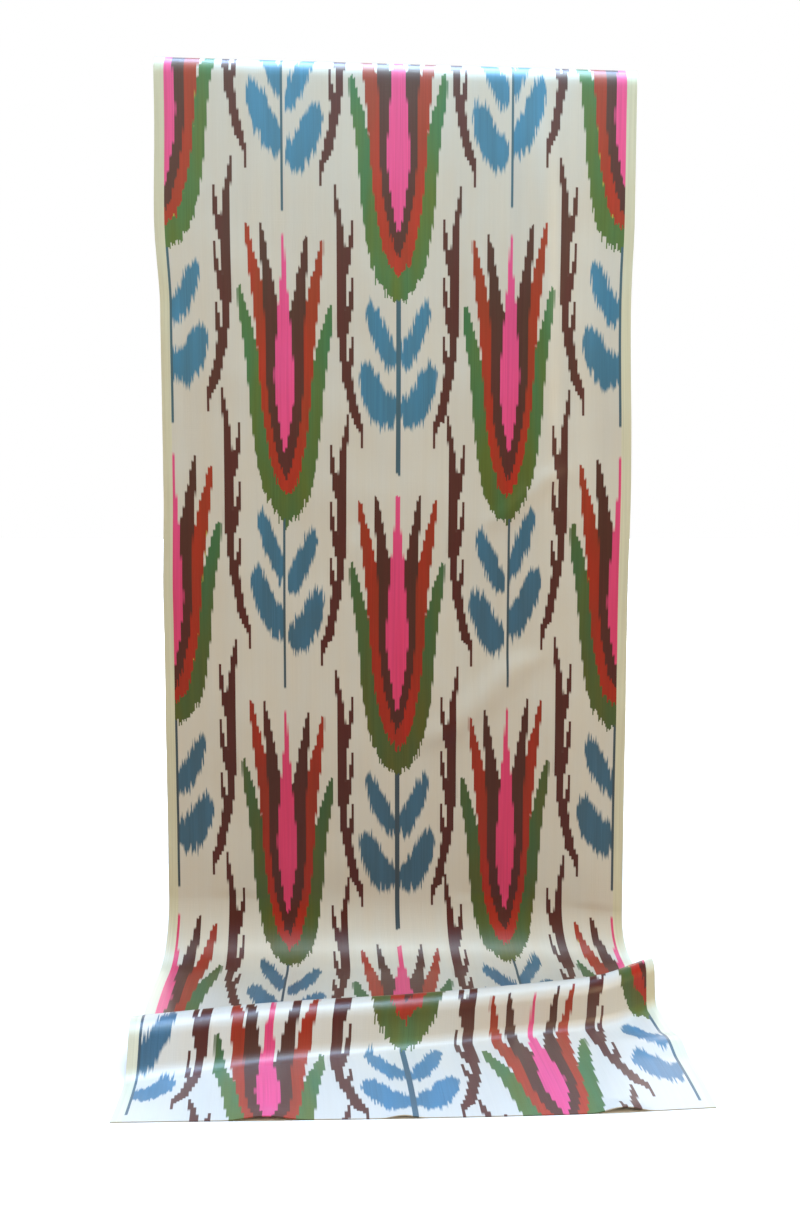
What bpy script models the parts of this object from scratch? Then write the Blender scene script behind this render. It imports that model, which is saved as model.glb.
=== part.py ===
"""Ikat woven cloth: one loom-width length, hung over a support, its foot run out over the floor in a ridge."""

import math
from collections import namedtuple

import bpy
from mathutils import Vector

# Driving sizes in metres. X runs across the cloth, -Y is towards the viewer and +Z is up.
# The origin is at the underside of the turn over the support, midway across.
CLOTH_WIDTH = 0.420
CLOTH_THICKNESS = 0.0015
TURN_RADIUS = 0.016
BACK_DROP = 0.115
HANG_HEIGHT = 0.799
TOP_TILT = 0.012

ACROSS_STEPS = 24
PART_NAME = "ikat_cloth"

# How the foot lies, a row for each place across the cloth. Forward is measured from the hanging face
# and height from the floor. The rise is the hidden slope behind the ridge, the fall its front face,
# and the drift is how far the cut edge has moved to the right.
FootSection = namedtuple(
    "FootSection",
    "across foot_radius crest_forward crest_height crest_radius rise_degrees fall_degrees"
    " bend_radius edge_forward edge_drift",
)
FOOT_SECTIONS = (
    FootSection(-0.210, 0.056, 0.224, 0.0335, 0.026, 44, 46, 0.030, 0.319, 0.0145),
    FootSection(-0.100, 0.055, 0.197, 0.0335, 0.020, 48, 54, 0.022, 0.316, 0.0155),
    FootSection(0.000, 0.054, 0.181, 0.0335, 0.016, 50, 62, 0.016, 0.313, 0.0165),
    FootSection(0.100, 0.050, 0.160, 0.0340, 0.014, 52, 70, 0.012, 0.308, 0.0165),
    FootSection(0.160, 0.046, 0.144, 0.0345, 0.012, 54, 75, 0.010, 0.303, 0.0165),
    FootSection(0.210, 0.040, 0.108, 0.0345, 0.011, 56, 80, 0.009, 0.298, 0.0165),
)
REAR_BEND_RADIUS = 0.020

# How far each selvedge of the hanging face sways to the right, by height over the floor.
SelvedgeSway = namedtuple("SelvedgeSway", "height left right")
SELVEDGE_SWAYS = (
    SelvedgeSway(0.100, 0.0000, 0.0000),
    SelvedgeSway(0.330, 0.0000, 0.0000),
    SelvedgeSway(0.430, 0.0022, 0.0012),
    SelvedgeSway(0.590, 0.0022, -0.0020),
    SelvedgeSway(0.665, -0.0018, 0.0000),
    SelvedgeSway(0.760, 0.0000, 0.0000),
)

# Soft upright folds in the hanging face, towards the viewer where the depth is positive.
HangingFold = namedtuple("HangingFold", "across half_width depth highest lowest")
HANGING_FOLDS = (
    HangingFold(-0.150, 0.045, 0.0022, 0.72, 0.16),
    HangingFold(0.045, 0.060, -0.0020, 0.76, 0.20),
    HangingFold(0.125, 0.030, 0.0034, 0.79, 0.34),
    HangingFold(0.178, 0.024, -0.0020, 0.74, 0.40),
)
FOLD_FADE = 0.10

# Places where the front cut edge lifts off the floor, and the low ripple across the flap's right side.
EdgeLift = namedtuple("EdgeLift", "across half_width height")
EDGE_LIFTS = (
    EdgeLift(-0.103, 0.030, 0.0030),
    EdgeLift(-0.008, 0.016, 0.0022),
    EdgeLift(0.142, 0.024, 0.0038),
)
LIFT_REACH = 0.022
RIPPLE_FORWARD = 0.198
RIPPLE_HALF_LENGTH = 0.022
RIPPLE_HEIGHT = 0.007
RIPPLE_STARTS = 0.110

# The cloth's path from its back end to its front cut edge, with how many steps each stretch takes.
Stretch = namedtuple("Stretch", "name steps")
STRETCHES = (
    Stretch("back_drop", 4),
    Stretch("turn", 12),
    Stretch("hang", 22),
    Stretch("foot", 9),
    Stretch("run", 3),
    Stretch("rear_bend", 4),
    Stretch("rise", 2),
    Stretch("crest", 10),
    Stretch("fall", 2),
    Stretch("front_bend", 6),
    Stretch("flap", 10),
)
SLOPE_STEP = 1e-4


def clear_scene():
    for old in list(bpy.data.objects):
        bpy.data.objects.remove(old, do_unlink=True)


def ease(share):
    """Smooth step from 0 to 1, held at both ends."""
    held = min(max(share, 0.0), 1.0)
    return held * held * (3.0 - 2.0 * held)


def hill(distance, half_width):
    """Smooth hill of height 1 that is 0 past half_width on either side."""
    if abs(distance) >= half_width:
        return 0.0
    return math.cos(0.5 * math.pi * distance / half_width) ** 2


def section_at(across):
    """The foot's sizes at any place across the cloth, on a smooth curve through the section rows."""
    held = min(max(across, FOOT_SECTIONS[0].across), FOOT_SECTIONS[-1].across)
    last = len(FOOT_SECTIONS) - 2
    index = min(last, sum(held > row.across for row in FOOT_SECTIONS[1:-1]))
    low, high = FOOT_SECTIONS[index], FOOT_SECTIONS[index + 1]
    before = FOOT_SECTIONS[max(index - 1, 0)]
    after = FOOT_SECTIONS[min(index + 2, last + 1)]
    span = high.across - low.across
    t = (held - low.across) / span
    values = []
    for p0, p1, p2, p3 in zip(before, low, high, after):
        start = (p2 - p0) / max((high.across - before.across) / span, 1.0)
        end = (p3 - p1) / max((after.across - low.across) / span, 1.0)
        values.append(
            (2 * t**3 - 3 * t**2 + 1) * p1
            + (t**3 - 2 * t**2 + t) * start
            + (3 * t**2 - 2 * t**3) * p2
            + (t**3 - t**2) * end
        )
    return FootSection(*values)


def stretch_at(along):
    """The stretch that a place along the cloth falls in, and how far into it, from 0 to 1."""
    left = along
    for stretch in STRETCHES[:-1]:
        if left <= stretch.steps:
            return stretch.name, left / stretch.steps
        left -= stretch.steps
    return STRETCHES[-1].name, left / STRETCHES[-1].steps


def foot_profile(name, share, section):
    """Forward distance and height over the floor of the cloth's middle, from the foot to the cut edge."""
    rest = 0.5 * CLOTH_THICKNESS
    crest_rise = section.crest_height - CLOTH_THICKNESS
    rise = math.radians(section.rise_degrees)
    fall = math.radians(section.fall_degrees)
    crest_radius, bend_radius = section.crest_radius, section.bend_radius
    rear_bends = REAR_BEND_RADIUS + crest_radius
    front_bends = bend_radius + crest_radius
    rise_height = crest_rise - rear_bends * (1.0 - math.cos(rise))
    fall_height = crest_rise - front_bends * (1.0 - math.cos(fall))
    rise_forward = rise_height / math.tan(rise)
    fall_forward = fall_height / math.tan(fall)
    run_end = section.crest_forward - rear_bends * math.sin(rise) - rise_forward
    bend_end = section.crest_forward + front_bends * math.sin(fall) + fall_forward

    if name == "foot":
        angle = share * 0.5 * math.pi
        return (
            section.foot_radius * (1.0 - math.cos(angle)),
            rest + section.foot_radius * (1.0 - math.sin(angle)),
        )
    if name == "run":
        return section.foot_radius + share * (run_end - section.foot_radius), rest
    if name == "rear_bend":
        angle = share * rise
        return (
            run_end + REAR_BEND_RADIUS * math.sin(angle),
            rest + REAR_BEND_RADIUS * (1.0 - math.cos(angle)),
        )
    if name == "rise":
        return (
            run_end + REAR_BEND_RADIUS * math.sin(rise) + share * rise_forward,
            rest + REAR_BEND_RADIUS * (1.0 - math.cos(rise)) + share * rise_height,
        )
    if name == "crest":
        angle = rise - share * (rise + fall)
        return (
            section.crest_forward - crest_radius * math.sin(angle),
            rest + crest_rise - crest_radius * (1.0 - math.cos(angle)),
        )
    if name == "fall":
        return (
            section.crest_forward + crest_radius * math.sin(fall) + share * fall_forward,
            rest + crest_rise - crest_radius * (1.0 - math.cos(fall)) - share * fall_height,
        )
    if name == "front_bend":
        angle = (1.0 - share) * fall
        return (
            bend_end - bend_radius * math.sin(angle),
            rest + bend_radius * (1.0 - math.cos(angle)),
        )
    return bend_end + share * (section.edge_forward - bend_end), rest


def flap_height(across, forward, section):
    """How far the flap stands off the floor: the ripple at its right and the lifts of its cut edge."""
    ripple = RIPPLE_HEIGHT * hill(forward - RIPPLE_FORWARD, RIPPLE_HALF_LENGTH)
    side = ease((across - RIPPLE_STARTS) / (0.5 * CLOTH_WIDTH - RIPPLE_STARTS))
    near_edge = ease(1.0 - (section.edge_forward - forward) / LIFT_REACH)
    lift = sum(row.height * hill(across - row.across, row.half_width) for row in EDGE_LIFTS)
    return ripple * side + lift * near_edge


def hanging_depth(across, height):
    """How far the hanging face stands forward in its soft upright folds."""
    depth = 0.0
    for row in HANGING_FOLDS:
        fade = ease((row.highest - height) / FOLD_FADE) * ease((height - row.lowest) / FOLD_FADE)
        depth += row.depth * hill(across - row.across, row.half_width) * fade
    return depth


def selvedge_sway(across, height):
    """How far a place on the hanging face sways sideways, blended between its two selvedges."""
    left = right = 0.0
    for low, high in zip(SELVEDGE_SWAYS, SELVEDGE_SWAYS[1:]):
        if low.height <= height <= high.height:
            share = ease((height - low.height) / (high.height - low.height))
            left = low.left + share * (high.left - low.left)
            right = low.right + share * (high.right - low.right)
    return left + (right - left) * (across / CLOTH_WIDTH + 0.5)


def middle_point(across, along):
    """A point of the cloth's middle: across from the centre line, along from the back end."""
    section = section_at(across)
    name, share = stretch_at(along)
    turn_height = HANG_HEIGHT - TURN_RADIUS - TOP_TILT * across / CLOTH_WIDTH
    middle_radius = TURN_RADIUS + 0.5 * CLOTH_THICKNESS
    drift = 0.0

    if name == "back_drop":
        forward, height = -2.0 * middle_radius, turn_height - (1.0 - share) * BACK_DROP
    elif name == "turn":
        angle = math.pi * (1.0 - share)
        forward = middle_radius * (math.cos(angle) - 1.0)
        height = turn_height + middle_radius * math.sin(angle)
    elif name == "hang":
        foot_top = 0.5 * CLOTH_THICKNESS + section.foot_radius
        height = turn_height + share * (foot_top - turn_height)
        forward = hanging_depth(across, height)
        drift = selvedge_sway(across, height)
    else:
        forward, height = foot_profile(name, share, section)
        if name in ("front_bend", "flap"):
            height += flap_height(across, forward, section)
        reach = section.edge_forward - section.foot_radius
        drift = section.edge_drift * ease((forward - section.foot_radius) / reach)
    return Vector((across + drift, -middle_radius - forward, height - HANG_HEIGHT))


def outward(across, along, along_end):
    """Unit direction out of the patterned side, which faces the viewer where the cloth hangs."""
    half = 0.5 * CLOTH_WIDTH
    left = middle_point(max(across - SLOPE_STEP, -half), along)
    right = middle_point(min(across + SLOPE_STEP, half), along)
    back = middle_point(across, max(along - SLOPE_STEP, 0.0))
    front = middle_point(across, min(along + SLOPE_STEP, along_end))
    return (front - back).cross(right - left).normalized()


def cloth_mesh():
    """One closed sheet: the patterned side, the reverse, and a rim along the selvedges and both ends."""
    along_steps = sum(stretch.steps for stretch in STRETCHES)
    across_count, along_count = ACROSS_STEPS + 1, along_steps + 1
    pattern_side, reverse_side = [], []
    for j in range(along_count):
        for i in range(across_count):
            across = CLOTH_WIDTH * (i / ACROSS_STEPS - 0.5)
            middle = middle_point(across, j)
            half_thickness = 0.5 * CLOTH_THICKNESS * outward(across, j, along_steps)
            pattern_side.append(middle + half_thickness)
            reverse = middle - half_thickness
            reverse.z = max(reverse.z, -HANG_HEIGHT)
            reverse_side.append(reverse)

    count = across_count * along_count
    faces = []
    for j in range(along_steps):
        for i in range(ACROSS_STEPS):
            a = j * across_count + i
            b, c, d = a + 1, a + 1 + across_count, a + across_count
            faces.append((a, d, c, b))
            faces.append((count + a, count + b, count + c, count + d))
    rim = [i for i in range(across_count)]
    rim += [j * across_count + ACROSS_STEPS for j in range(1, along_count)]
    rim += [along_steps * across_count + i for i in range(ACROSS_STEPS - 1, -1, -1)]
    rim += [j * across_count for j in range(along_steps - 1, 0, -1)]
    for a, b in zip(rim, rim[1:] + rim[:1]):
        faces.append((a, b, count + b, count + a))

    mesh = bpy.data.meshes.new(PART_NAME)
    mesh.from_pydata([tuple(p) for p in pattern_side + reverse_side], [], faces)
    mesh.validate()
    mesh.update()
    return mesh


def cloth_material():
    """Undyed silk and cotton warp between the coloured motifs, with a soft sheen."""
    material = bpy.data.materials.new("ikat_weave")
    material.use_nodes = True
    shader = material.node_tree.nodes["Principled BSDF"]
    shader.inputs["Base Color"].default_value = (0.62, 0.56, 0.46, 1.0)
    shader.inputs["Roughness"].default_value = 0.55
    shader.inputs["Metallic"].default_value = 0.0
    return material


def build_cloth():
    mesh = cloth_mesh()
    mesh.shade_smooth()
    mesh.set_sharp_from_angle(angle=math.radians(40))
    mesh.materials.append(cloth_material())
    cloth = bpy.data.objects.new(PART_NAME, mesh)
    bpy.context.scene.collection.objects.link(cloth)


clear_scene()
build_cloth()
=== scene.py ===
"""Looks of the ikat woven cloth: a thin hanging sheet, tulips, leaves and branches dyed into its warp."""

import math
from collections import namedtuple

import bpy
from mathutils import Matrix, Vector, noise


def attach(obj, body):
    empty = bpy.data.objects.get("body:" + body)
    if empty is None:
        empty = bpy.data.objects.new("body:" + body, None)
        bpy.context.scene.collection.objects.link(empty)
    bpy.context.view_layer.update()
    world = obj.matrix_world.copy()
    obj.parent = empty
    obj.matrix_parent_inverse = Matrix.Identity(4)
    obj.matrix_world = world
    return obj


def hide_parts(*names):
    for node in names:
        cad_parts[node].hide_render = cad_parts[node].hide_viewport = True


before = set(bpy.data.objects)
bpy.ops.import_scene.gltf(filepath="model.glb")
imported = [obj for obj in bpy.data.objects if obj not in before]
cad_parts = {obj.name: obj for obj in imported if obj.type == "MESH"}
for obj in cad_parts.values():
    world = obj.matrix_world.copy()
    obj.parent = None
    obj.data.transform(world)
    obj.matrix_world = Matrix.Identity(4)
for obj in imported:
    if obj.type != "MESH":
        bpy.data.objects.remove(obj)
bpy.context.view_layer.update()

# Sizes of the cloth in metres, the same as its solid's, but for the real weave's thinness.
# X runs across the cloth, -Y is towards the viewer and +Z is up.
CLOTH_WIDTH = 0.420
CLOTH_THICKNESS = 0.0015
WEAVE_THICKNESS = 0.0007
FLOOR_GAP = 0.0001
TURN_RADIUS = 0.016
BACK_DROP = 0.115
HANG_HEIGHT = 0.799
TOP_TILT = 0.012
ACROSS_STEPS = 120

# How the foot lies, a row for each place across the cloth. Forward is measured from the hanging face
# and height from the floor. The rise is the hidden slope behind the ridge, the fall its front face, a few
# degrees steeper than the solid's, and the drifts are how far the foot's end and the cut edge have moved
# to the right.
FootSection = namedtuple(
    "FootSection",
    "across foot_radius crest_forward crest_height crest_radius rise_degrees fall_degrees"
    " bend_radius edge_forward foot_drift edge_drift",
)
FOOT_SECTIONS = (
    FootSection(-0.210, 0.056, 0.224, 0.0335, 0.021, 44, 53, 0.020, 0.319, 0.0000, 0.0145),
    FootSection(-0.100, 0.055, 0.197, 0.0335, 0.017, 48, 62, 0.015, 0.316, 0.0015, 0.0140),
    FootSection(0.000, 0.054, 0.181, 0.0335, 0.014, 50, 70, 0.012, 0.313, 0.0030, 0.0150),
    FootSection(0.100, 0.050, 0.160, 0.0340, 0.012, 52, 78, 0.010, 0.308, 0.0045, 0.0190),
    FootSection(0.160, 0.046, 0.144, 0.0350, 0.011, 54, 80, 0.009, 0.303, 0.0050, 0.0180),
    FootSection(0.210, 0.040, 0.108, 0.0360, 0.010, 56, 82, 0.008, 0.298, 0.0050, 0.0165),
)
REAR_BEND_RADIUS = 0.020

# How far each selvedge of the hanging face sways to the right, by height over the floor. The sway dies
# out quickly towards the cloth's middle.
SelvedgeSway = namedtuple("SelvedgeSway", "height left right")
SELVEDGE_SWAYS = (
    SelvedgeSway(0.100, 0.0000, 0.0000),
    SelvedgeSway(0.330, 0.0000, 0.0000),
    SelvedgeSway(0.430, 0.0022, 0.0012),
    SelvedgeSway(0.590, 0.0022, -0.0020),
    SelvedgeSway(0.665, -0.0018, 0.0000),
    SelvedgeSway(0.760, 0.0000, 0.0000),
)

# Soft folds and finer creases of the hanging face, each a straight line from a high place to a low one.
# The face stands towards the viewer where the depth is positive. A crease rises and dies out over the
# same share of its line, and the swells grow over that share of the hanging face below the turn.
HangingCrease = namedtuple("HangingCrease", "across height end_across end_height half_width depth")
HANGING_CREASES = (
    HangingCrease(-0.150, 0.72, -0.150, 0.16, 0.045, 0.0022),
    HangingCrease(0.045, 0.76, 0.045, 0.20, 0.060, -0.0020),
    HangingCrease(0.125, 0.79, 0.125, 0.34, 0.030, 0.0034),
    HangingCrease(0.178, 0.74, 0.178, 0.40, 0.024, -0.0020),
    HangingCrease(0.113, 0.78, 0.108, 0.52, 0.009, 0.0007),
    HangingCrease(0.132, 0.76, 0.137, 0.44, 0.010, 0.0008),
    HangingCrease(0.152, 0.79, 0.149, 0.60, 0.008, 0.0006),
    HangingCrease(0.128, 0.288, 0.030, 0.188, 0.030, 0.0048),
    HangingCrease(0.152, 0.454, 0.084, 0.390, 0.022, 0.0030),
    HangingCrease(-0.118, 0.79, -0.128, 0.62, 0.012, 0.0007),
    HangingCrease(-0.020, 0.40, -0.085, 0.30, 0.024, 0.0018),
    HangingCrease(-0.205, 0.66, -0.200, 0.36, 0.012, 0.0010),
)
CREASE_FADE = 0.22

# Places where the front cut edge lifts off the floor, and the low ripple across the flap's right side.
EdgeLift = namedtuple("EdgeLift", "across half_width height")
EDGE_LIFTS = (
    EdgeLift(-0.103, 0.030, 0.0030),
    EdgeLift(-0.008, 0.016, 0.0022),
    EdgeLift(0.142, 0.024, 0.0038),
)
LIFT_REACH = 0.022
RIPPLE_FORWARD = 0.198
RIPPLE_HALF_LENGTH = 0.026
RIPPLE_HEIGHT = 0.0048
RIPPLE_STARTS = 0.110

# Uneven swells over the hanging face and the back drop: their size, and how far they stand out. The back
# drop has its own swells, read from another layer of the same noise.
Swell = namedtuple("Swell", "span depth")
SWELLS = (Swell(0.085, 0.0018), Swell(0.034, 0.00065))
FACE_LAYER = 0.0
BACK_LAYER = 1.0

# The cloth's path from its back end to its front cut edge, with how many steps each stretch takes.
Stretch = namedtuple("Stretch", "name steps")
STRETCHES = (
    Stretch("back_drop", 18),
    Stretch("turn", 20),
    Stretch("hang", 130),
    Stretch("foot", 28),
    Stretch("run", 12),
    Stretch("rear_bend", 12),
    Stretch("rise", 6),
    Stretch("crest", 30),
    Stretch("fall", 6),
    Stretch("front_bend", 18),
    Stretch("flap", 48),
)
ALONG_STEPS = sum(stretch.steps for stretch in STRETCHES)

# How much further the pattern has come down the warp than the path's length says, by place across:
# on the hanging face, where the foot meets the floor, on the ridge's crest, and at the cut edge. The warp
# also wanders a little to the side: at the top, low on the hanging face, behind the ridge, on its crest
# and in front of it.
TakeUp = namedtuple(
    "TakeUp", "across hang foot crest edge top_aside hang_aside rear_aside crest_aside bend_aside"
)
TAKE_UPS = (
    TakeUp(-0.210, 0.000, 0.010, 0.020, 0.055, 0.0000, 0.0000, 0.000, 0.000, 0.000),
    TakeUp(-0.160, 0.000, 0.010, 0.024, 0.060, -0.0018, -0.0012, -0.002, 0.001, 0.006),
    TakeUp(-0.100, 0.000, 0.010, 0.032, 0.056, -0.0024, -0.0012, -0.004, 0.001, 0.006),
    TakeUp(0.000, 0.000, 0.016, 0.040, 0.060, -0.0028, -0.0014, -0.003, -0.002, 0.005),
    TakeUp(0.100, 0.000, 0.016, 0.034, 0.062, -0.0005, 0.0002, -0.002, -0.003, 0.006),
    TakeUp(0.160, -0.002, 0.015, 0.037, 0.055, 0.0018, 0.0016, -0.001, -0.003, 0.006),
    TakeUp(0.210, -0.004, 0.014, 0.042, 0.050, 0.0000, 0.0000, 0.000, 0.000, 0.000),
)

# The shares of the hanging face between which the top's wander gives way to the one low down, and the
# stretches that lead up to the crest and over it.
TOP_ASIDE_SPAN = (0.30, 0.70)
BEFORE_CREST = ("run", "rear_bend", "rise")
OVER_CREST = ("crest", "fall", "front_bend")

# The pattern, in millimetres. A column of tulips stands on the centre line, and others one and two
# pitches beside it, each with its own start down the warp. Along is measured down the warp from a tulip's
# green foot, and a repeat starts a little above the tulip's tips.
MM = 1000.0
REPEAT = 425.0
REPEAT_TOP = -262.0
BUNDLE_WIDTH = 2.1
THREAD_WIDTH = 1.05
COLUMN_PITCH = 48 * BUNDLE_WIDTH
PATTERN_HALF_WIDTH = 2 * COLUMN_PITCH

# How far tied bundles slip past each other along the warp, and how far single threads do, which is more
# near a tulip's foot than at its tips.
BUNDLE_SLIP = 2.2
THREAD_SLIP_PLACES = (-80.0, -15.0)
THREAD_SLIPS = (0.9, 4.4)

# How soft the edges of the dyed shapes are, in millimetres.
BAND_EDGE = 0.5
BAND_END = 1.0
BRANCH_EDGE = 0.6
SPUR_EDGE = 0.4
LEAF_EDGE = 5.0
LEAF_END = 0.4
STEM_END = 2.0

# Uneven values over the cloth: how quickly each changes across the warp, counted in bundles, threads or
# millimetres, and with each millimetre along it.
Streak = namedtuple("Streak", "across along")
BUNDLE_STREAK = Streak(7.31, 0.021)
THREAD_STREAK = Streak(5.77, 0.043)
TONE_STREAK = Streak(3.93, 0.012)
DRIFT_STREAK = Streak(0.09, 0.013)
YARN_STREAK = Streak(1.9, 0.06)
SLUB_STREAK = Streak(0.035, 1.1)
SLUB_SHARE = 0.5
STREAK_SPREAD = 3.2

# Where each column's green foot lies, how much the pattern slopes beside it, how much slimmer its pink,
# its other bands and its leaves are than the centre's, how much lower its leaves lie, how far its stem
# reaches beside it, how much higher its green and its stem end, and whether yellow flecks show between
# its red and its green. The red's foot rises by a share of what the green's does.
Column = namedtuple("Column", "foot skew slim band_trim leaf_trim leaf_drop stem short flecks")
CENTRE_COLUMN = Column(202.0, 0.0, 0.0, 0.0, 0.0, 3.5, 2.1, 0.0, 0.0)
MIDDLE_COLUMN_INNER = Column(-26.0, 0.0, 1.5, 1.0, 0.0, 8.0, 0.0, 0.0, 0.0)
MIDDLE_COLUMN_OUTER = Column(-28.0, -0.4, 0.7, 2.1, 3.5, 0.0, 2.1, 0.0, 0.0)
EDGE_COLUMN = Column(163.0, 0.2, 0.7, 0.0, 1.5, 2.0, 2.1, 7.5, 1.0)
RED_SHORT_SHARE = 0.5

# What the paint of a column takes from its row above, and from the warp.
COLUMN_SIZES = ("Slim", "Band trim", "Leaf trim", "Leaf drop", "Stem", "Short", "Flecks")
WARP_VALUES = ("Bundle slip", "Thread slip", "Dye drift")

# Half of a tulip: each dye's inner and outer edge beside the column's middle, all within the reach.
MOTIF_REACH = 60.0
Band = namedtuple("Band", "along inner outer")
PINK_BAND = (
    Band(-250, -1, 1.6),
    Band(-246, -1, 2.0),
    Band(-220, -1, 3.15),
    Band(-197, -1, 5.25),
    Band(-167, -1, 7.35),
    Band(-137, -1, 9.45),
    Band(-123, -1, 10.2),
    Band(-109, -1, 9.45),
    Band(-92, -1, 7.35),
    Band(-79, -1, 5.25),
    Band(-67, -1, 3.15),
    Band(-56, -1, 0.9),
)
BROWN_BAND = (
    Band(-251, 19.4, 20.6),
    Band(-246, 17.9, 20.9),
    Band(-238, 15.8, 21.1),
    Band(-225, 13.7, 20.6),
    Band(-216, 11.5, 19.9),
    Band(-205, 9.5, 19.2),
    Band(-188, 6.0, 18.4),
    Band(-175, 1.0, 17.8),
    Band(-108, -1, 15.7),
    Band(-80, -1, 12.6),
    Band(-65, -1, 9.4),
    Band(-48, -1, 5.2),
    Band(-36, -1, 0.4),
)
RED_BAND = (
    Band(-247, 34.0, 35.4),
    Band(-243, 32.6, 35.6),
    Band(-236, 30.5, 35.6),
    Band(-226, 28.4, 34.7),
    Band(-212, 24.2, 33.4),
    Band(-202, 22.1, 32.5),
    Band(-185, 18.6, 30.4),
    Band(-165, 10.0, 28.3),
    Band(-140, 0.0, 26.2),
    Band(-112, -1, 24.1),
    Band(-84, -1, 21.6),
    Band(-62, -1, 17.8),
    Band(-42, -1, 13.6),
    Band(-30, -1, 9.4),
    Band(-25, -1, 5.2),
    Band(-20, -1, 0.9),
)
GREEN_BAND = (
    Band(-190, 40.4, 42.0),
    Band(-186, 38.8, 43.2),
    Band(-172, 34.6, 43.0),
    Band(-157, 30.2, 41.0),
    Band(-145, 27.6, 38.9),
    Band(-127, 20.0, 36.7),
    Band(-105, 12.0, 34.6),
    Band(-78, 4.0, 32.5),
    Band(-62, -1, 30.4),
    Band(-36, -1, 26.2),
    Band(-21, -1, 22.0),
    Band(-10, -1, 15.8),
    Band(-3, -1, 11.4),
    Band(1, -1, 6.0),
    Band(3, -1, 2.0),
)

# A thick branch beside each column, and the thin spur that repeats along its inner side.
BRANCH_BAND = (
    Band(-95, 55.6, 57.4),
    Band(-88, 54.0, 57.4),
    Band(-78, 52.0, 56.6),
    Band(-67, 49.8, 55.4),
    Band(-50, 47.8, 54.4),
    Band(-36, 46.8, 54.8),
    Band(28, 47.0, 55.4),
    Band(36, 46.6, 53.2),
    Band(52, 45.6, 52.4),
    Band(60, 42.2, 50.8),
    Band(69, 41.0, 50.0),
    Band(80, 39.6, 47.4),
    Band(90, 37.4, 45.4),
    Band(100, 35.2, 43.6),
    Band(107, 33.2, 41.4),
    Band(113, 31.4, 37.4),
    Band(120, 31.0, 34.6),
    Band(132, 31.0, 33.0),
)
SPUR_BAND = (
    Band(0, 40.2, 41.8),
    Band(8, 40.2, 42.0),
    Band(16, 40.3, 43.8),
    Band(25, 40.8, 45.0),
    Band(30, 41.6, 48.0),
    Band(40, 43.0, 48.0),
    Band(50, 45.4, 48.0),
)
SPUR_TOP = -68.0
SPUR_PITCH = 50.5
SPURS_END = 62.0

# Two pairs of leaves under each tulip, a row for each place beside the stem.
Leaf = namedtuple("Leaf", "beside top bottom")
UPPER_LEAF = (
    Leaf(2.1, 41, 53),
    Leaf(5.0, 35, 58),
    Leaf(9.0, 27, 58),
    Leaf(13.0, 19, 53),
    Leaf(17.0, 10, 46),
    Leaf(21.0, 4, 37),
    Leaf(25.0, -1, 28),
    Leaf(27.0, 1, 21),
    Leaf(28.6, 6, 13),
)
LOWER_LEAF = (
    Leaf(2.1, 88, 102),
    Leaf(5.0, 84, 108),
    Leaf(9.0, 80, 111),
    Leaf(15.0, 72, 111),
    Leaf(19.0, 63, 108),
    Leaf(23.0, 58, 103),
    Leaf(27.0, 54, 95),
    Leaf(31.0, 54, 87),
    Leaf(33.0, 57, 80),
    Leaf(34.8, 63, 70),
)
LEAF_REACH = 130.0
STEM_TOP = -6.0
STEM_BOTTOM = 155.0

# The undyed ground with its warmer mottle, the selvedge's yellower yarn, and the dyes at their deepest,
# before the painted sheen pales them. A dye goes from one colour at a tulip's tips to another at its foot,
# and drifts unevenly between the two.
WHITE = (1.0, 1.0, 1.0, 1.0)
GROUND = (0.620, 0.612, 0.586, 1.0)
GROUND_TINT = (1.020, 0.975, 0.920, 1.0)
MOTTLE = 0.3
SELVEDGE = (0.630, 0.622, 0.490, 1.0)
Dye = namedtuple("Dye", "tip foot")
PINK = Dye((0.650, 0.050, 0.162, 1.0), (0.675, 0.044, 0.150, 1.0))
BROWN = Dye((0.070, 0.018, 0.011, 1.0), (0.084, 0.013, 0.010, 1.0))
RED = Dye((0.275, 0.024, 0.007, 1.0), (0.385, 0.018, 0.006, 1.0))
GREEN = Dye((0.046, 0.106, 0.040, 1.0), (0.090, 0.096, 0.015, 1.0))
BLUE = Dye((0.050, 0.142, 0.246, 1.0), (0.050, 0.114, 0.180, 1.0))
STEM_TINT = (0.95, 0.62, 0.52, 1.0)
TIP_END = -175.0
FOOT_START = -45.0
FOOT_SHARES = (0.2, 0.7)
DYE_DRIFT = 0.34

# Yellow flecks under the red, on the threads that have slipped furthest.
YELLOW = (0.420, 0.400, 0.050, 1.0)
FLECK_DROP = 3.5
FLECK_SLIP = 0.7

# How much lighter or darker single threads are, in the dyes, in the undyed ground and in the selvedge.
DYE_TONE = 0.07
GROUND_TONE = 0.012
SELVEDGE_TONE = 0.045

# Painted sheen: how far the dyes are painted paler, towards a lighter, cooler tint, and how far the ground's
# colour is laid over them as a haze of light, by place down the warp in millimetres. It is strongest high on
# the hanging face, fades out lower down, comes back a little at the foot, is none over the ridge's crest and
# face, and is strong again on the flap. The places lie further down the warp on the left, as the ridge does.
SHEEN_SLANT = 0.2
PaintedSheen = namedtuple("PaintedSheen", "along amount veil")
PAINTED_SHEENS = (
    PaintedSheen(-60, 1.0, 0.075),
    PaintedSheen(160, 0.88, 0.026),
    PaintedSheen(330, 0.60, 0.008),
    PaintedSheen(500, 0.12, 0.0),
    PaintedSheen(640, 0.0, 0.0),
    PaintedSheen(760, 0.0, 0.0),
    PaintedSheen(850, 0.28, 0.020),
    PaintedSheen(930, 0.28, 0.020),
    PaintedSheen(985, 0.0, 0.0),
    PaintedSheen(1015, 0.0, 0.0),
    PaintedSheen(1050, 0.55, 0.045),
    PaintedSheen(1200, 0.62, 0.060),
)
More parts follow.
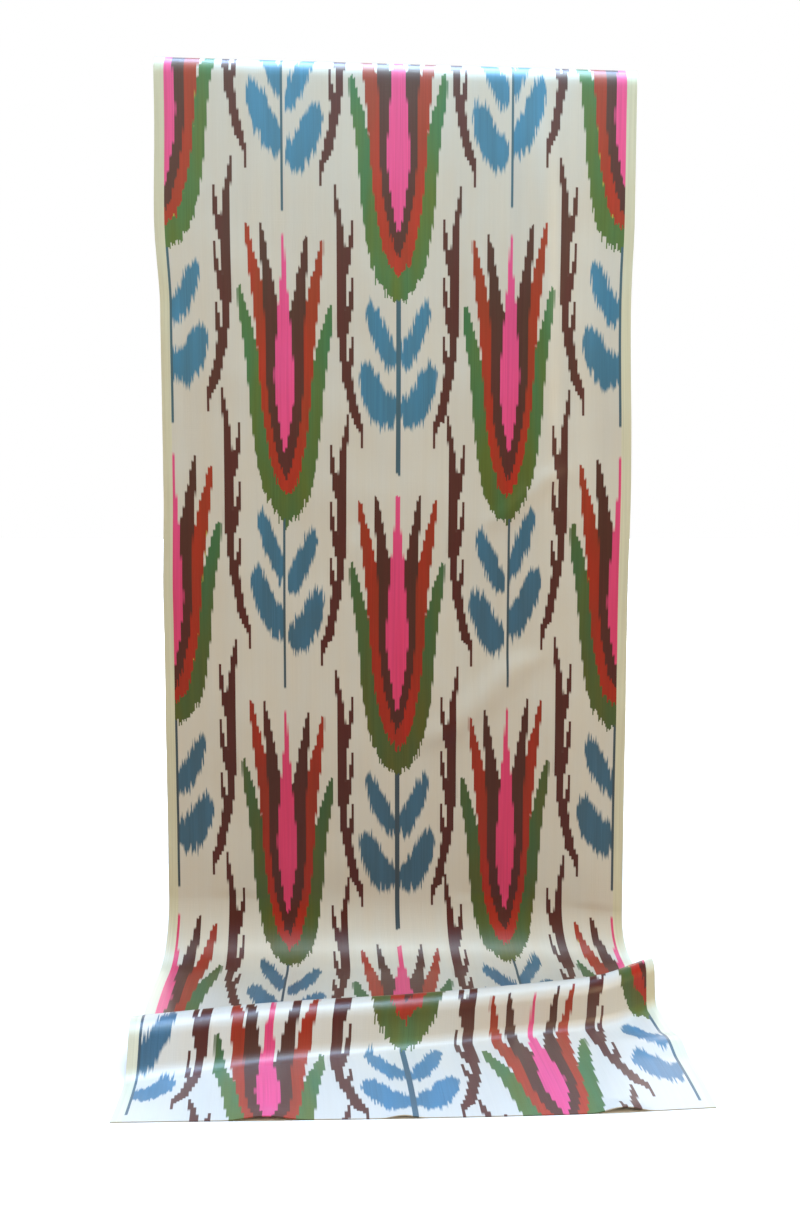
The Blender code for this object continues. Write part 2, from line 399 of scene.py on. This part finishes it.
# The lighter, cooler tint that the painted sheen pales the dyes towards.
SHEEN_TINT = (1.22, 1.88, 1.95, 1.0)

# The silk's finish, and how far its fine weave stands out.
FINISH = {
    "Roughness": 0.38,
    "Specular IOR Level": 0.45,
    "Sheen Weight": 0.05,
    "Sheen Roughness": 0.4,
}
RELIEF_STRENGTH = 0.09
RELIEF_HEIGHT = 0.0003
SMOOTH_DEGREES = 50.0

# The floor: its colour to the eye and to the light that bounces off it, and where it fades into the white
# around it, in metres from the cloth.
FLOOR_SIDE = 14.0
FLOOR_SEEN = (0.94, 0.94, 0.94, 1.0)
FLOOR_BOUNCE = (0.34, 0.28, 0.21, 1.0)
FLOOR_FADE = (0.35, 1.3)

# The dim warm light that comes from every side.
ROOM_GLOW = (0.14, 0.12, 0.095, 1.0)

# Soft lights, each from its place towards a target. Size is an area's side in metres or a sun's angle in
# degrees.
Light = namedtuple("Light", "name kind place target power colour size")
LIGHTS = (
    Light("sky", "SUN", (0.0, 0.6, 2.0), (0.0, 0.0, 0.0), 4.0, (0.41, 0.62, 1.0), 24.0),
    Light("high", "SUN", (0.0, -0.22, 2.0), (0.0, 0.0, 0.0), 0.45, (1.0, 0.87, 0.71), 24.0),
    Light("over", "AREA", (0.12, -0.13, 0.8), (0.05, -0.2, -0.8), 13.0, (0.50, 0.75, 0.93), 0.5),
    Light("top", "AREA", (0.1, -0.55, 0.45), (0.0, 0.0, -0.12), 3.0, (0.30, 0.72, 1.0), 0.6),
    Light("left", "AREA", (-1.8, -1.2, 0.0), (0.0, 0.0, -0.45), 17.8, (1.0, 0.74, 0.43), 1.2),
    Light("right", "AREA", (1.8, -1.2, 0.0), (0.0, 0.0, -0.45), 26.0, (1.0, 0.79, 0.50), 1.2),
    Light("behind", "AREA", (0.0, 2.2, 0.2), (0.0, 0.0, -0.45), 42.0, (1.0, 0.90, 0.86), 1.4),
)

# The photograph's view of the cloth.
CAMERA_PLACE = (0.004, -1.18675, -0.351)
CAMERA_TILT = 84.0
CAMERA_LENS = 38.74
CAMERA_SENSOR = 36.0


def ease(share):
    """Smooth step from 0 to 1, held at both ends."""
    held = min(max(share, 0.0), 1.0)
    return held * held * (3.0 - 2.0 * held)


def hill(distance, half_width):
    """Smooth hill of height 1 that is 0 past half_width on either side."""
    if abs(distance) >= half_width:
        return 0.0
    return math.cos(0.5 * math.pi * distance / half_width) ** 2


def row_at(rows, across):
    """The values of a table at any place across the cloth, on a smooth curve through its rows."""
    held = min(max(across, rows[0].across), rows[-1].across)
    last = len(rows) - 2
    index = min(last, sum(held > row.across for row in rows[1:-1]))
    low, high = rows[index], rows[index + 1]
    before = rows[max(index - 1, 0)]
    after = rows[min(index + 2, last + 1)]
    span = high.across - low.across
    t = (held - low.across) / span
    values = []
    for p0, p1, p2, p3 in zip(before, low, high, after):
        start = (p2 - p0) / max((high.across - before.across) / span, 1.0)
        end = (p3 - p1) / max((after.across - low.across) / span, 1.0)
        values.append(
            (2 * t**3 - 3 * t**2 + 1) * p1
            + (t**3 - 2 * t**2 + t) * start
            + (3 * t**2 - 2 * t**3) * p2
            + (t**3 - t**2) * end
        )
    return type(low)(*values)


def stretch_at(along):
    """The stretch that a place along the cloth falls in, and how far into it, from 0 to 1."""
    left = along
    for stretch in STRETCHES[:-1]:
        if left <= stretch.steps:
            return stretch.name, left / stretch.steps
        left -= stretch.steps
    return STRETCHES[-1].name, left / STRETCHES[-1].steps


def foot_profile(name, share, section):
    """Forward distance and height over the floor of the cloth's middle, from the foot to the cut edge."""
    rest = FLOOR_GAP + 0.5 * WEAVE_THICKNESS
    crest_rise = section.crest_height - 0.5 * CLOTH_THICKNESS - rest
    rise = math.radians(section.rise_degrees)
    fall = math.radians(section.fall_degrees)
    crest_radius, bend_radius = section.crest_radius, section.bend_radius
    rear_bends = REAR_BEND_RADIUS + crest_radius
    front_bends = bend_radius + crest_radius
    rise_height = crest_rise - rear_bends * (1.0 - math.cos(rise))
    fall_height = crest_rise - front_bends * (1.0 - math.cos(fall))
    rise_forward = rise_height / math.tan(rise)
    fall_forward = fall_height / math.tan(fall)
    run_end = section.crest_forward - rear_bends * math.sin(rise) - rise_forward
    bend_end = section.crest_forward + front_bends * math.sin(fall) + fall_forward

    if name == "foot":
        angle = share * 0.5 * math.pi
        return (
            section.foot_radius * (1.0 - math.cos(angle)),
            rest + section.foot_radius * (1.0 - math.sin(angle)),
        )
    if name == "run":
        return section.foot_radius + share * (run_end - section.foot_radius), rest
    if name == "rear_bend":
        angle = share * rise
        return (
            run_end + REAR_BEND_RADIUS * math.sin(angle),
            rest + REAR_BEND_RADIUS * (1.0 - math.cos(angle)),
        )
    if name == "rise":
        return (
            run_end + REAR_BEND_RADIUS * math.sin(rise) + share * rise_forward,
            rest + REAR_BEND_RADIUS * (1.0 - math.cos(rise)) + share * rise_height,
        )
    if name == "crest":
        angle = rise - share * (rise + fall)
        return (
            section.crest_forward - crest_radius * math.sin(angle),
            rest + crest_rise - crest_radius * (1.0 - math.cos(angle)),
        )
    if name == "fall":
        return (
            section.crest_forward + crest_radius * math.sin(fall) + share * fall_forward,
            rest + crest_rise - crest_radius * (1.0 - math.cos(fall)) - share * fall_height,
        )
    if name == "front_bend":
        angle = (1.0 - share) * fall
        return (
            bend_end - bend_radius * math.sin(angle),
            rest + bend_radius * (1.0 - math.cos(angle)),
        )
    return bend_end + share * (section.edge_forward - bend_end), rest


def flap_height(across, forward, section):
    """How far the flap stands off the floor: the ripple at its right and the lifts of its cut edge."""
    ripple = RIPPLE_HEIGHT * hill(forward - RIPPLE_FORWARD, RIPPLE_HALF_LENGTH)
    side = ease((across - RIPPLE_STARTS) / (0.5 * CLOTH_WIDTH - RIPPLE_STARTS))
    near_edge = ease(1.0 - (section.edge_forward - forward) / LIFT_REACH)
    lift = sum(row.height * hill(across - row.across, row.half_width) for row in EDGE_LIFTS)
    return ripple * side + lift * near_edge


def crease_depth(across, height):
    """How far the hanging face stands forward in its soft folds and creases."""
    depth = 0.0
    for row in HANGING_CREASES:
        share = (row.height - height) / (row.height - row.end_height)
        middle = row.across + share * (row.end_across - row.across)
        fade = ease(share / CREASE_FADE) * ease((1.0 - share) / CREASE_FADE)
        depth += row.depth * hill(across - middle, row.half_width) * fade
    return depth


def selvedge_sway(across, height):
    """How far a place on the hanging face sways sideways with the selvedge on its side."""
    sway = 0.0
    for low, high in zip(SELVEDGE_SWAYS, SELVEDGE_SWAYS[1:]):
        if low.height <= height <= high.height:
            share = ease((height - low.height) / (high.height - low.height))
            ends = (low.left, high.left) if across < 0.0 else (low.right, high.right)
            sway = ends[0] + share * (ends[1] - ends[0])
    return sway * abs(2.0 * across / CLOTH_WIDTH) ** 4


def swell_at(place):
    """How far the cloth swells out at a place, unevenly, from its two sizes of swell."""
    return sum(row.depth * noise.noise(place / row.span) for row in SWELLS)


def sheet_point(across, along):
    """A point of the cloth's middle: across from the centre line, along from the back end."""
    section = row_at(FOOT_SECTIONS, across)
    name, share = stretch_at(along)
    turn_height = HANG_HEIGHT - TURN_RADIUS - TOP_TILT * across / CLOTH_WIDTH
    middle_radius = TURN_RADIUS + 0.5 * CLOTH_THICKNESS
    drift = 0.0

    if name == "back_drop":
        forward, height = -2.0 * middle_radius, turn_height - (1.0 - share) * BACK_DROP
        forward -= swell_at(Vector((across, BACK_LAYER, height))) * ease(1.0 - share)
    elif name == "turn":
        angle = math.pi * (1.0 - share)
        forward = middle_radius * (math.cos(angle) - 1.0)
        height = turn_height + middle_radius * math.sin(angle)
    elif name == "hang":
        foot_top = FLOOR_GAP + 0.5 * WEAVE_THICKNESS + section.foot_radius
        height = turn_height + share * (foot_top - turn_height)
        swell = swell_at(Vector((across, FACE_LAYER, height)))
        forward = crease_depth(across, height) + swell * ease(share / CREASE_FADE)
        drift = selvedge_sway(across, height)
    else:
        forward, height = foot_profile(name, share, section)
        if name in ("front_bend", "flap"):
            height += flap_height(across, forward, section)
        reach = section.edge_forward - section.foot_radius
        further = section.edge_drift - section.foot_drift
        drift = section.foot_drift * ease(forward / section.foot_radius)
        drift += further * ease((forward - section.foot_radius) / reach)
    return Vector((across + drift, -middle_radius - forward, height - HANG_HEIGHT))


def share_of(names, name, share):
    """How far a place in one stretch has come through the whole of several, from 0 to 1."""
    steps = {stretch.name: stretch.steps for stretch in STRETCHES}
    done = sum(steps[other] for other in names[: names.index(name)])
    return (done + share * steps[name]) / sum(steps[other] for other in names)


def warp_wander(across, along):
    """How far the pattern lies aside and further down the warp at a place than the path's length says."""
    row = row_at(TAKE_UPS, across)
    name, share = stretch_at(along)
    if name in ("back_drop", "turn"):
        return row.top_aside, row.hang
    if name == "hang":
        first, last = TOP_ASIDE_SPAN
        lowered = ease((share - first) / (last - first))
        return row.top_aside + (row.hang_aside - row.top_aside) * lowered, row.hang
    if name == "foot":
        aside = row.hang_aside + (row.rear_aside - row.hang_aside) * ease(share)
        return aside, row.hang + (row.foot - row.hang) * share
    if name in BEFORE_CREST:
        climbed = ease(share_of(BEFORE_CREST, name, share))
        return (
            row.rear_aside + (row.crest_aside - row.rear_aside) * climbed,
            row.foot + (row.crest - row.foot) * climbed,
        )
    if name in OVER_CREST:
        crossed = ease(share_of(OVER_CREST, name, share))
        return row.crest_aside + (row.bend_aside - row.crest_aside) * crossed, row.crest
    return row.bend_aside * (1.0 - share), row.crest + (row.edge - row.crest) * share


def link(tree, socket, value):
    """Feeds a node's input from another node's output, or sets it to a plain value."""
    if isinstance(value, bpy.types.NodeSocket):
        tree.links.new(value, socket)
    elif socket.type == "VECTOR":
        socket.default_value = value[:3]
    else:
        socket.default_value = value


def calc(tree, operation, *values, clamp=False):
    """A Math node's result from sockets or numbers."""
    node = tree.nodes.new("ShaderNodeMath")
    node.operation = operation
    node.use_clamp = clamp
    for socket, value in zip(node.inputs, values):
        link(tree, socket, value)
    return node.outputs["Value"]


def mix_colour(tree, share, first, second):
    """A colour that goes from first to second as share goes from 0 to 1."""
    node = tree.nodes.new("ShaderNodeMix")
    node.data_type = "RGBA"
    link(tree, node.inputs["Factor"], share)
    link(tree, node.inputs["A"], first)
    link(tree, node.inputs["B"], second)
    return node.outputs["Result"]


def tint(tree, colour, factor):
    """A colour multiplied by another, channel by channel."""
    node = tree.nodes.new("ShaderNodeVectorMath")
    node.operation = "MULTIPLY"
    link(tree, node.inputs[0], colour)
    link(tree, node.inputs[1], factor)
    return node.outputs["Vector"]


def scaled(tree, colour, amount):
    """A colour made lighter or darker by an amount."""
    node = tree.nodes.new("ShaderNodeVectorMath")
    node.operation = "SCALE"
    link(tree, node.inputs[0], colour)
    link(tree, node.inputs["Scale"], amount)
    return node.outputs["Vector"]


def map_range(tree, value, from_low, from_high, to_low, to_high):
    """A value carried from one range to another and held at its ends."""
    node = tree.nodes.new("ShaderNodeMapRange")
    for socket, given in zip(node.inputs, (value, from_low, from_high, to_low, to_high)):
        link(tree, socket, given)
    return node.outputs["Result"]


def streaks(tree, across, along, streak):
    """Uneven values from about -1 to 1 that change across the warp and along it as the streak says."""
    place = tree.nodes.new("ShaderNodeCombineXYZ")
    link(tree, place.inputs["X"], calc(tree, "MULTIPLY", across, streak.across))
    link(tree, place.inputs["Y"], calc(tree, "MULTIPLY", along, streak.along))
    texture = tree.nodes.new("ShaderNodeTexNoise")
    texture.noise_dimensions = "2D"
    texture.inputs["Scale"].default_value = 1.0
    texture.inputs["Detail"].default_value = 0.0
    link(tree, texture.inputs["Vector"], place.outputs["Vector"])
    return calc(tree, "MULTIPLY_ADD", texture.outputs["Fac"], STREAK_SPREAD, -0.5 * STREAK_SPREAD)


def new_group(name, inputs, outputs):
    """An empty node group with named sockets, and its input and output nodes."""
    group = bpy.data.node_groups.new(name, "ShaderNodeTree")
    for in_out, sockets in (("INPUT", inputs), ("OUTPUT", outputs)):
        for socket_name, kind in sockets:
            group.interface.new_socket(name=socket_name, in_out=in_out, socket_type=kind)
    return group, group.nodes.new("NodeGroupInput").outputs, group.nodes.new("NodeGroupOutput").inputs


def curve_through(tree, source, places, values, reach):
    """A smooth curve of values by place, read at the source and held past both ends."""
    first, last = places[0], places[-1]
    node = tree.nodes.new("ShaderNodeFloatCurve")
    curve = node.mapping.curves[0]
    for index, (place, value) in enumerate(zip(places, values)):
        x, y = (place - first) / (last - first), value / reach * 0.5 + 0.5
        if index < 2:
            curve.points[index].location = (x, y)
        else:
            curve.points.new(x, y)
    for point in curve.points:
        point.handle_type = "AUTO_CLAMPED"
    node.mapping.update()
    link(tree, node.inputs["Value"], map_range(tree, source, first, last, 0.0, 1.0))
    return calc(tree, "MULTIPLY_ADD", node.outputs["Value"], 2.0 * reach, -reach)


def between(tree, value, low, high, softness):
    """A mask that is 1 where the value lies between low and high, with soft ends."""
    above = calc(tree, "MULTIPLY_ADD", calc(tree, "SUBTRACT", value, low), 1.0 / softness, 0.5, clamp=True)
    below = calc(tree, "MULTIPLY_ADD", calc(tree, "SUBTRACT", high, value), 1.0 / softness, 0.5, clamp=True)
    return calc(tree, "MULTIPLY", above, below)


def band_mask(tree, rows, beside, along, softness):
    """The mask of a dyed band that the rows give by place along the warp."""
    places = [row.along for row in rows]
    inner = curve_through(tree, along, places, [row.inner for row in rows], MOTIF_REACH)
    outer = curve_through(tree, along, places, [row.outer for row in rows], MOTIF_REACH)
    ends = between(tree, along, float(places[0]), float(places[-1]), BAND_END)
    return calc(tree, "MULTIPLY", between(tree, beside, inner, outer, softness), ends)


def leaf_mask(tree, rows, beside, along):
    """The mask of a leaf whose upper and lower edge the rows give by place beside the stem."""
    places = [row.beside for row in rows]
    top = curve_through(tree, beside, places, [row.top for row in rows], LEAF_REACH)
    bottom = curve_through(tree, beside, places, [row.bottom for row in rows], LEAF_REACH)
    ends = between(tree, beside, places[0], places[-1], LEAF_END)
    return calc(tree, "MULTIPLY", between(tree, along, top, bottom, LEAF_EDGE), ends)


def warp_group():
    """Splits the warp into tie-dyed bundles and threads that have slipped past each other."""
    group, given, results = new_group(
        "Warp bundles",
        (("Across", "NodeSocketFloat"), ("Along", "NodeSocketFloat")),
        (
            ("Beside centre", "NodeSocketFloat"),
            ("Bundle slip", "NodeSocketFloat"),
            ("Thread slip", "NodeSocketFloat"),
            ("Thread tone", "NodeSocketFloat"),
            ("Dye drift", "NodeSocketFloat"),
        ),
    )
    bundle = calc(group, "FLOOR", calc(group, "DIVIDE", given["Across"], BUNDLE_WIDTH))
    thread = calc(group, "FLOOR", calc(group, "DIVIDE", given["Across"], THREAD_WIDTH))
    middle = calc(group, "MULTIPLY", calc(group, "ADD", bundle, 0.5), BUNDLE_WIDTH)
    link(group, results["Beside centre"], calc(group, "ABSOLUTE", middle))
    for name, counted, streak in (
        ("Bundle slip", bundle, BUNDLE_STREAK),
        ("Thread slip", thread, THREAD_STREAK),
        ("Thread tone", thread, TONE_STREAK),
        ("Dye drift", given["Across"], DRIFT_STREAK),
    ):
        link(group, results[name], streaks(group, counted, given["Along"], streak))
    return group


def column_group():
    """Paints half a column of tulips, leaves, stem and branch over a ground colour."""
    numbers = ("Beside", "Along") + COLUMN_SIZES + WARP_VALUES
    colours = ("Ground", "PaintedSheen")
    group, given, results = new_group(
        "Tulip column",
        tuple((name, "NodeSocketFloat") for name in numbers)
        + tuple((name, "NodeSocketColor") for name in colours),
        (("Color", "NodeSocketColor"),),
    )
    beside, along = given["Beside"], given["Along"]
    bundled = calc(group, "MULTIPLY_ADD", given["Bundle slip"], BUNDLE_SLIP, along)
    thread_reach = map_range(group, along, *THREAD_SLIP_PLACES, *THREAD_SLIPS)
    feathered = calc(group, "MULTIPLY_ADD", given["Thread slip"], thread_reach, bundled)
    to_foot = map_range(group, along, TIP_END, FOOT_START, *FOOT_SHARES)
    to_foot = calc(group, "MULTIPLY_ADD", given["Dye drift"], DYE_DRIFT, to_foot, clamp=True)
    # Each dye is tinted by the painted sheen, which also carries each thread's own tone.
    pink, brown, red, green, blue_dye = (
        tint(group, mix_colour(group, to_foot, dye.tip, dye.foot), given["PaintedSheen"])
        for dye in (PINK, BROWN, RED, GREEN, BLUE)
    )
    slimmed = calc(group, "ADD", beside, given["Slim"])
    fitted = calc(group, "ADD", beside, given["Band trim"])
    leaf_beside = calc(group, "ADD", beside, given["Leaf trim"])
    leaf_along = calc(group, "SUBTRACT", feathered, given["Leaf drop"])
    stem_along = calc(group, "ADD", bundled, given["Short"])
    green_along = calc(group, "ADD", feathered, given["Short"])
    red_raise = map_range(group, along, TIP_END, FOOT_START, 0.0, RED_SHORT_SHARE)
    red_along = calc(group, "MULTIPLY_ADD", given["Short"], red_raise, feathered)

    upper = leaf_mask(group, UPPER_LEAF, leaf_beside, leaf_along)
    lower = leaf_mask(group, LOWER_LEAF, leaf_beside, leaf_along)
    stem = between(group, stem_along, STEM_TOP, STEM_BOTTOM, STEM_END)
    stem = calc(group, "MULTIPLY", calc(group, "LESS_THAN", beside, given["Stem"]), stem)
    colour = mix_colour(group, calc(group, "MAXIMUM", upper, lower), given["Ground"], blue_dye)
    colour = mix_colour(group, stem, colour, tint(group, blue_dye, STEM_TINT))

    thick = band_mask(group, BRANCH_BAND, beside, bundled, BRANCH_EDGE)
    spur_place = calc(group, "WRAP", bundled, SPUR_TOP + SPUR_PITCH, SPUR_TOP)
    spur_place = calc(group, "SUBTRACT", spur_place, SPUR_TOP)
    spur = band_mask(group, SPUR_BAND, beside, spur_place, SPUR_EDGE)
    spur = calc(group, "MULTIPLY", spur, between(group, bundled, SPUR_TOP, SPURS_END, BAND_END))
    colour = mix_colour(group, calc(group, "MAXIMUM", thick, spur), colour, brown)

    green_mask = band_mask(group, GREEN_BAND, fitted, green_along, BAND_EDGE)
    colour = mix_colour(group, green_mask, colour, green)
    under_red = calc(group, "SUBTRACT", red_along, FLECK_DROP)
    slipped = calc(group, "GREATER_THAN", given["Thread slip"], FLECK_SLIP)
    flecks = calc(group, "MULTIPLY", slipped, given["Flecks"])
    flecks = calc(group, "MULTIPLY", flecks, band_mask(group, RED_BAND, fitted, under_red, BAND_EDGE))
    colour = mix_colour(group, flecks, colour, YELLOW)
    for rows, dye, width, place in (
        (RED_BAND, red, fitted, red_along),
        (BROWN_BAND, brown, beside, feathered),
        (PINK_BAND, pink, slimmed, feathered),
    ):
        colour = mix_colour(group, band_mask(group, rows, width, place, BAND_EDGE), colour, dye)
    link(group, results["Color"], colour)
    return group


def place_column(tree, group, columns, outer_strip, beside, along, warp_values, ground, sheen_and_tone):
    """One Tulip column node, with the inner or the outer strip's column sizes."""

    def size(name):
        inner, outer = (getattr(column, name) for column in columns)
        return map_range(tree, outer_strip, 0.0, 1.0, inner, outer)

    skewed = calc(tree, "SUBTRACT", along, calc(tree, "MULTIPLY", beside, size("skew")))
    down = calc(tree, "SUBTRACT", skewed, size("foot"))
    wrapped = calc(tree, "WRAP", down, REPEAT_TOP + REPEAT, REPEAT_TOP)
    node = tree.nodes.new("ShaderNodeGroup")
    node.node_tree = group
    values = {"Beside": beside, "Along": wrapped, "Ground": ground, "PaintedSheen": sheen_and_tone}
    values.update((name, size(name.lower().replace(" ", "_"))) for name in COLUMN_SIZES)
    values.update((name, warp_values[name]) for name in WARP_VALUES)
    for name, value in values.items():
        link(tree, node.inputs[name], value)
    return node.outputs["Color"]


def weave_height(tree, across, along):
    """Fine warp threads with thicker wefts that show here and there as faint ribs across the cloth."""
    threads = streaks(tree, across, along, YARN_STREAK)
    slubs = streaks(tree, across, along, SLUB_STREAK)
    return calc(tree, "MULTIPLY_ADD", slubs, SLUB_SHARE, threads)


def ikat_material():
    """Warp ikat of silk and cotton, its pattern laid out on the cloth's own map in metres."""
    material = bpy.data.materials.new("ikat_silk")
    material.use_nodes = True
    tree = material.node_tree
    shader = tree.nodes["Principled BSDF"]

    cloth_map = tree.nodes.new("ShaderNodeUVMap")
    cloth_map.uv_map = "cloth"
    split = tree.nodes.new("ShaderNodeSeparateXYZ")
    link(tree, split.inputs["Vector"], cloth_map.outputs["UV"])
    across = calc(tree, "MULTIPLY", split.outputs["X"], MM)
    along = calc(tree, "MULTIPLY", split.outputs["Y"], MM)

    warp = tree.nodes.new("ShaderNodeGroup")
    warp.node_tree = warp_group()
    link(tree, warp.inputs["Across"], across)
    link(tree, warp.inputs["Along"], along)
    centre = warp.outputs["Beside centre"]
    outer_strip = calc(tree, "GREATER_THAN", centre, COLUMN_PITCH)
    in_strip = calc(tree, "SUBTRACT", centre, calc(tree, "MULTIPLY", outer_strip, COLUMN_PITCH))
    from_far = calc(tree, "SUBTRACT", COLUMN_PITCH, in_strip)

    tone = warp.outputs["Thread tone"]
    # Painted sheen: the dyes are painted paler by place down the warp, and each thread's tone is laid on
    # top.
    slanted = calc(tree, "MULTIPLY_ADD", across, SHEEN_SLANT, along)
    places = [row.along for row in PAINTED_SHEENS]
    sheen_amount = curve_through(tree, slanted, places, [row.amount for row in PAINTED_SHEENS], 1.0)
    sheen_haze = curve_through(tree, slanted, places, [row.veil for row in PAINTED_SHEENS], 1.0)
    sheen_and_tone = mix_colour(tree, sheen_amount, WHITE, SHEEN_TINT)
    sheen_and_tone = scaled(tree, sheen_and_tone, calc(tree, "MULTIPLY_ADD", tone, DYE_TONE, 1.0))

    mottle = calc(tree, "MULTIPLY_ADD", warp.outputs["Dye drift"], MOTTLE, 0.5, clamp=True)
    undyed = tint(tree, GROUND, mix_colour(tree, mottle, WHITE, GROUND_TINT))
    undyed = scaled(tree, undyed, calc(tree, "MULTIPLY_ADD", tone, GROUND_TONE, 1.0))
    columns = column_group()
    colour = undyed
    for pair, beside in (
        ((CENTRE_COLUMN, MIDDLE_COLUMN_OUTER), in_strip),
        ((MIDDLE_COLUMN_INNER, EDGE_COLUMN), from_far),
    ):
        colour = place_column(tree, columns, pair, outer_strip, beside, along, warp.outputs, colour, sheen_and_tone)
    # Painted sheen: the ground's colour is laid over the dyes as a haze of light.
    colour = mix_colour(tree, sheen_haze, colour, undyed)
    selvedge = calc(tree, "GREATER_THAN", centre, PATTERN_HALF_WIDTH)
    edging = scaled(tree, SELVEDGE, calc(tree, "MULTIPLY_ADD", tone, SELVEDGE_TONE, 1.0))
    link(tree, shader.inputs["Base Color"], mix_colour(tree, selvedge, colour, edging))

    relief = tree.nodes.new("ShaderNodeBump")
    relief.inputs["Strength"].default_value = RELIEF_STRENGTH
    relief.inputs["Distance"].default_value = RELIEF_HEIGHT
    link(tree, relief.inputs["Height"], weave_height(tree, across, along))
    link(tree, shader.inputs["Normal"], relief.outputs["Normal"])
    for name, value in FINISH.items():
        shader.inputs[name].default_value = value
    return material


def floor_material():
    """Plain white floor that carries the cloth's soft shadow and fades into the white around it."""
    material = bpy.data.materials.new("pale_floor")
    material.use_nodes = True
    tree = material.node_tree
    shader = tree.nodes["Principled BSDF"]
    seen = tree.nodes.new("ShaderNodeLightPath").outputs["Is Camera Ray"]
    link(tree, shader.inputs["Base Color"], mix_colour(tree, seen, FLOOR_BOUNCE, FLOOR_SEEN))
    shader.inputs["Roughness"].default_value = 0.9
    shader.inputs["Specular IOR Level"].default_value = 0.0

    place = tree.nodes.new("ShaderNodeTexCoord").outputs["Object"]
    distance = tree.nodes.new("ShaderNodeVectorMath")
    distance.operation = "LENGTH"
    link(tree, distance.inputs[0], place)
    fade = map_range(tree, distance.outputs["Value"], *FLOOR_FADE, 0.0, 1.0)
    shader.inputs["Emission Color"].default_value = WHITE
    link(tree, shader.inputs["Emission Strength"], calc(tree, "MULTIPLY", seen, fade))
    return material


def build_cloth():
    """The sheet: a fine grid laid along the cloth's path, mapped in its own metres and thickened."""
    bpy.ops.mesh.primitive_grid_add(x_subdivisions=ACROSS_STEPS, y_subdivisions=ALONG_STEPS, size=1.0)
    cloth = bpy.context.object
    cloth.name = "ikat_sheet"
    cloth.data.name = "ikat_sheet"
    mesh = cloth.data

    places = {}
    for vertex in mesh.vertices:
        column = round((vertex.co.x + 0.5) * ACROSS_STEPS)
        row = round((0.5 - vertex.co.y) * ALONG_STEPS)
        places[column, row] = vertex.index
    hang_start = STRETCHES[0].steps + STRETCHES[1].steps
    maps = [None] * len(mesh.vertices)
    for column in range(ACROSS_STEPS + 1):
        across = CLOTH_WIDTH * (column / ACROSS_STEPS - 0.5)
        points = [sheet_point(across, row) for row in range(ALONG_STEPS + 1)]
        lengths = [0.0]
        for before, after in zip(points, points[1:]):
            lengths.append(lengths[-1] + (after - before).length)
        start = lengths[hang_start] + points[hang_start].z
        for row, point in enumerate(points):
            index = places[column, row]
            mesh.vertices[index].co = point
            aside, further = warp_wander(across, row)
            maps[index] = (across + aside, lengths[row] - start + further)
    layer = mesh.uv_layers[0]
    layer.name = "cloth"
    for loop in mesh.loops:
        layer.data[loop.index].uv = maps[loop.vertex_index]

    thickness = cloth.modifiers.new("weave", "SOLIDIFY")
    thickness.thickness = WEAVE_THICKNESS
    thickness.offset = 0.0
    bpy.ops.object.modifier_apply(modifier=thickness.name)
    bpy.ops.object.shade_smooth_by_angle(angle=math.radians(SMOOTH_DEGREES))
    mesh.materials.append(ikat_material())
    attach(cloth, "root")
    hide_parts("ikat_cloth")


def build_floor():
    """The plane that the foot lies on."""
    bpy.ops.mesh.primitive_plane_add(size=FLOOR_SIDE, location=(0.0, 0.0, -HANG_HEIGHT))
    floor = bpy.context.object
    floor.name = "floor"
    floor.data.materials.append(floor_material())


def build_world():
    """White all round to the eye, with a dim warm light from every side."""
    world = bpy.data.worlds.new("studio")
    bpy.context.scene.world = world
    world.use_nodes = True
    tree = world.node_tree
    background = tree.nodes["Background"]
    seen = tree.nodes.new("ShaderNodeLightPath").outputs["Is Camera Ray"]
    link(tree, background.inputs["Color"], mix_colour(tree, seen, ROOM_GLOW, WHITE))
    background.inputs["Strength"].default_value = 1.0


def build_light(row):
    """One soft light at its place, aimed at its target."""
    light = bpy.data.lights.new(row.name, row.kind)
    light.energy = row.power
    light.color = row.colour
    if row.kind == "SUN":
        light.angle = math.radians(row.size)
    else:
        light.size = row.size
    holder = bpy.data.objects.new(row.name, light)
    holder.location = row.place
    holder.rotation_euler = (Vector(row.target) - Vector(row.place)).to_track_quat("-Z", "Y").to_euler()
    bpy.context.scene.collection.objects.link(holder)


def build_camera():
    """The camera, level from side to side and looking a little down."""
    camera = bpy.data.cameras.new("camera")
    camera.lens = CAMERA_LENS
    camera.sensor_width = CAMERA_SENSOR
    holder = bpy.data.objects.new("camera", camera)
    holder.location = CAMERA_PLACE
    holder.rotation_euler = (math.radians(CAMERA_TILT), 0.0, 0.0)
    bpy.context.scene.collection.objects.link(holder)
    bpy.context.scene.camera = holder


bpy.ops.object.select_all(action="DESELECT")
build_cloth()
build_floor()
build_world()
for light_row in LIGHTS:
    build_light(light_row)
build_camera()
bpy.context.scene.view_settings.view_transform = "Standard"

bpy.context.view_layer.update()
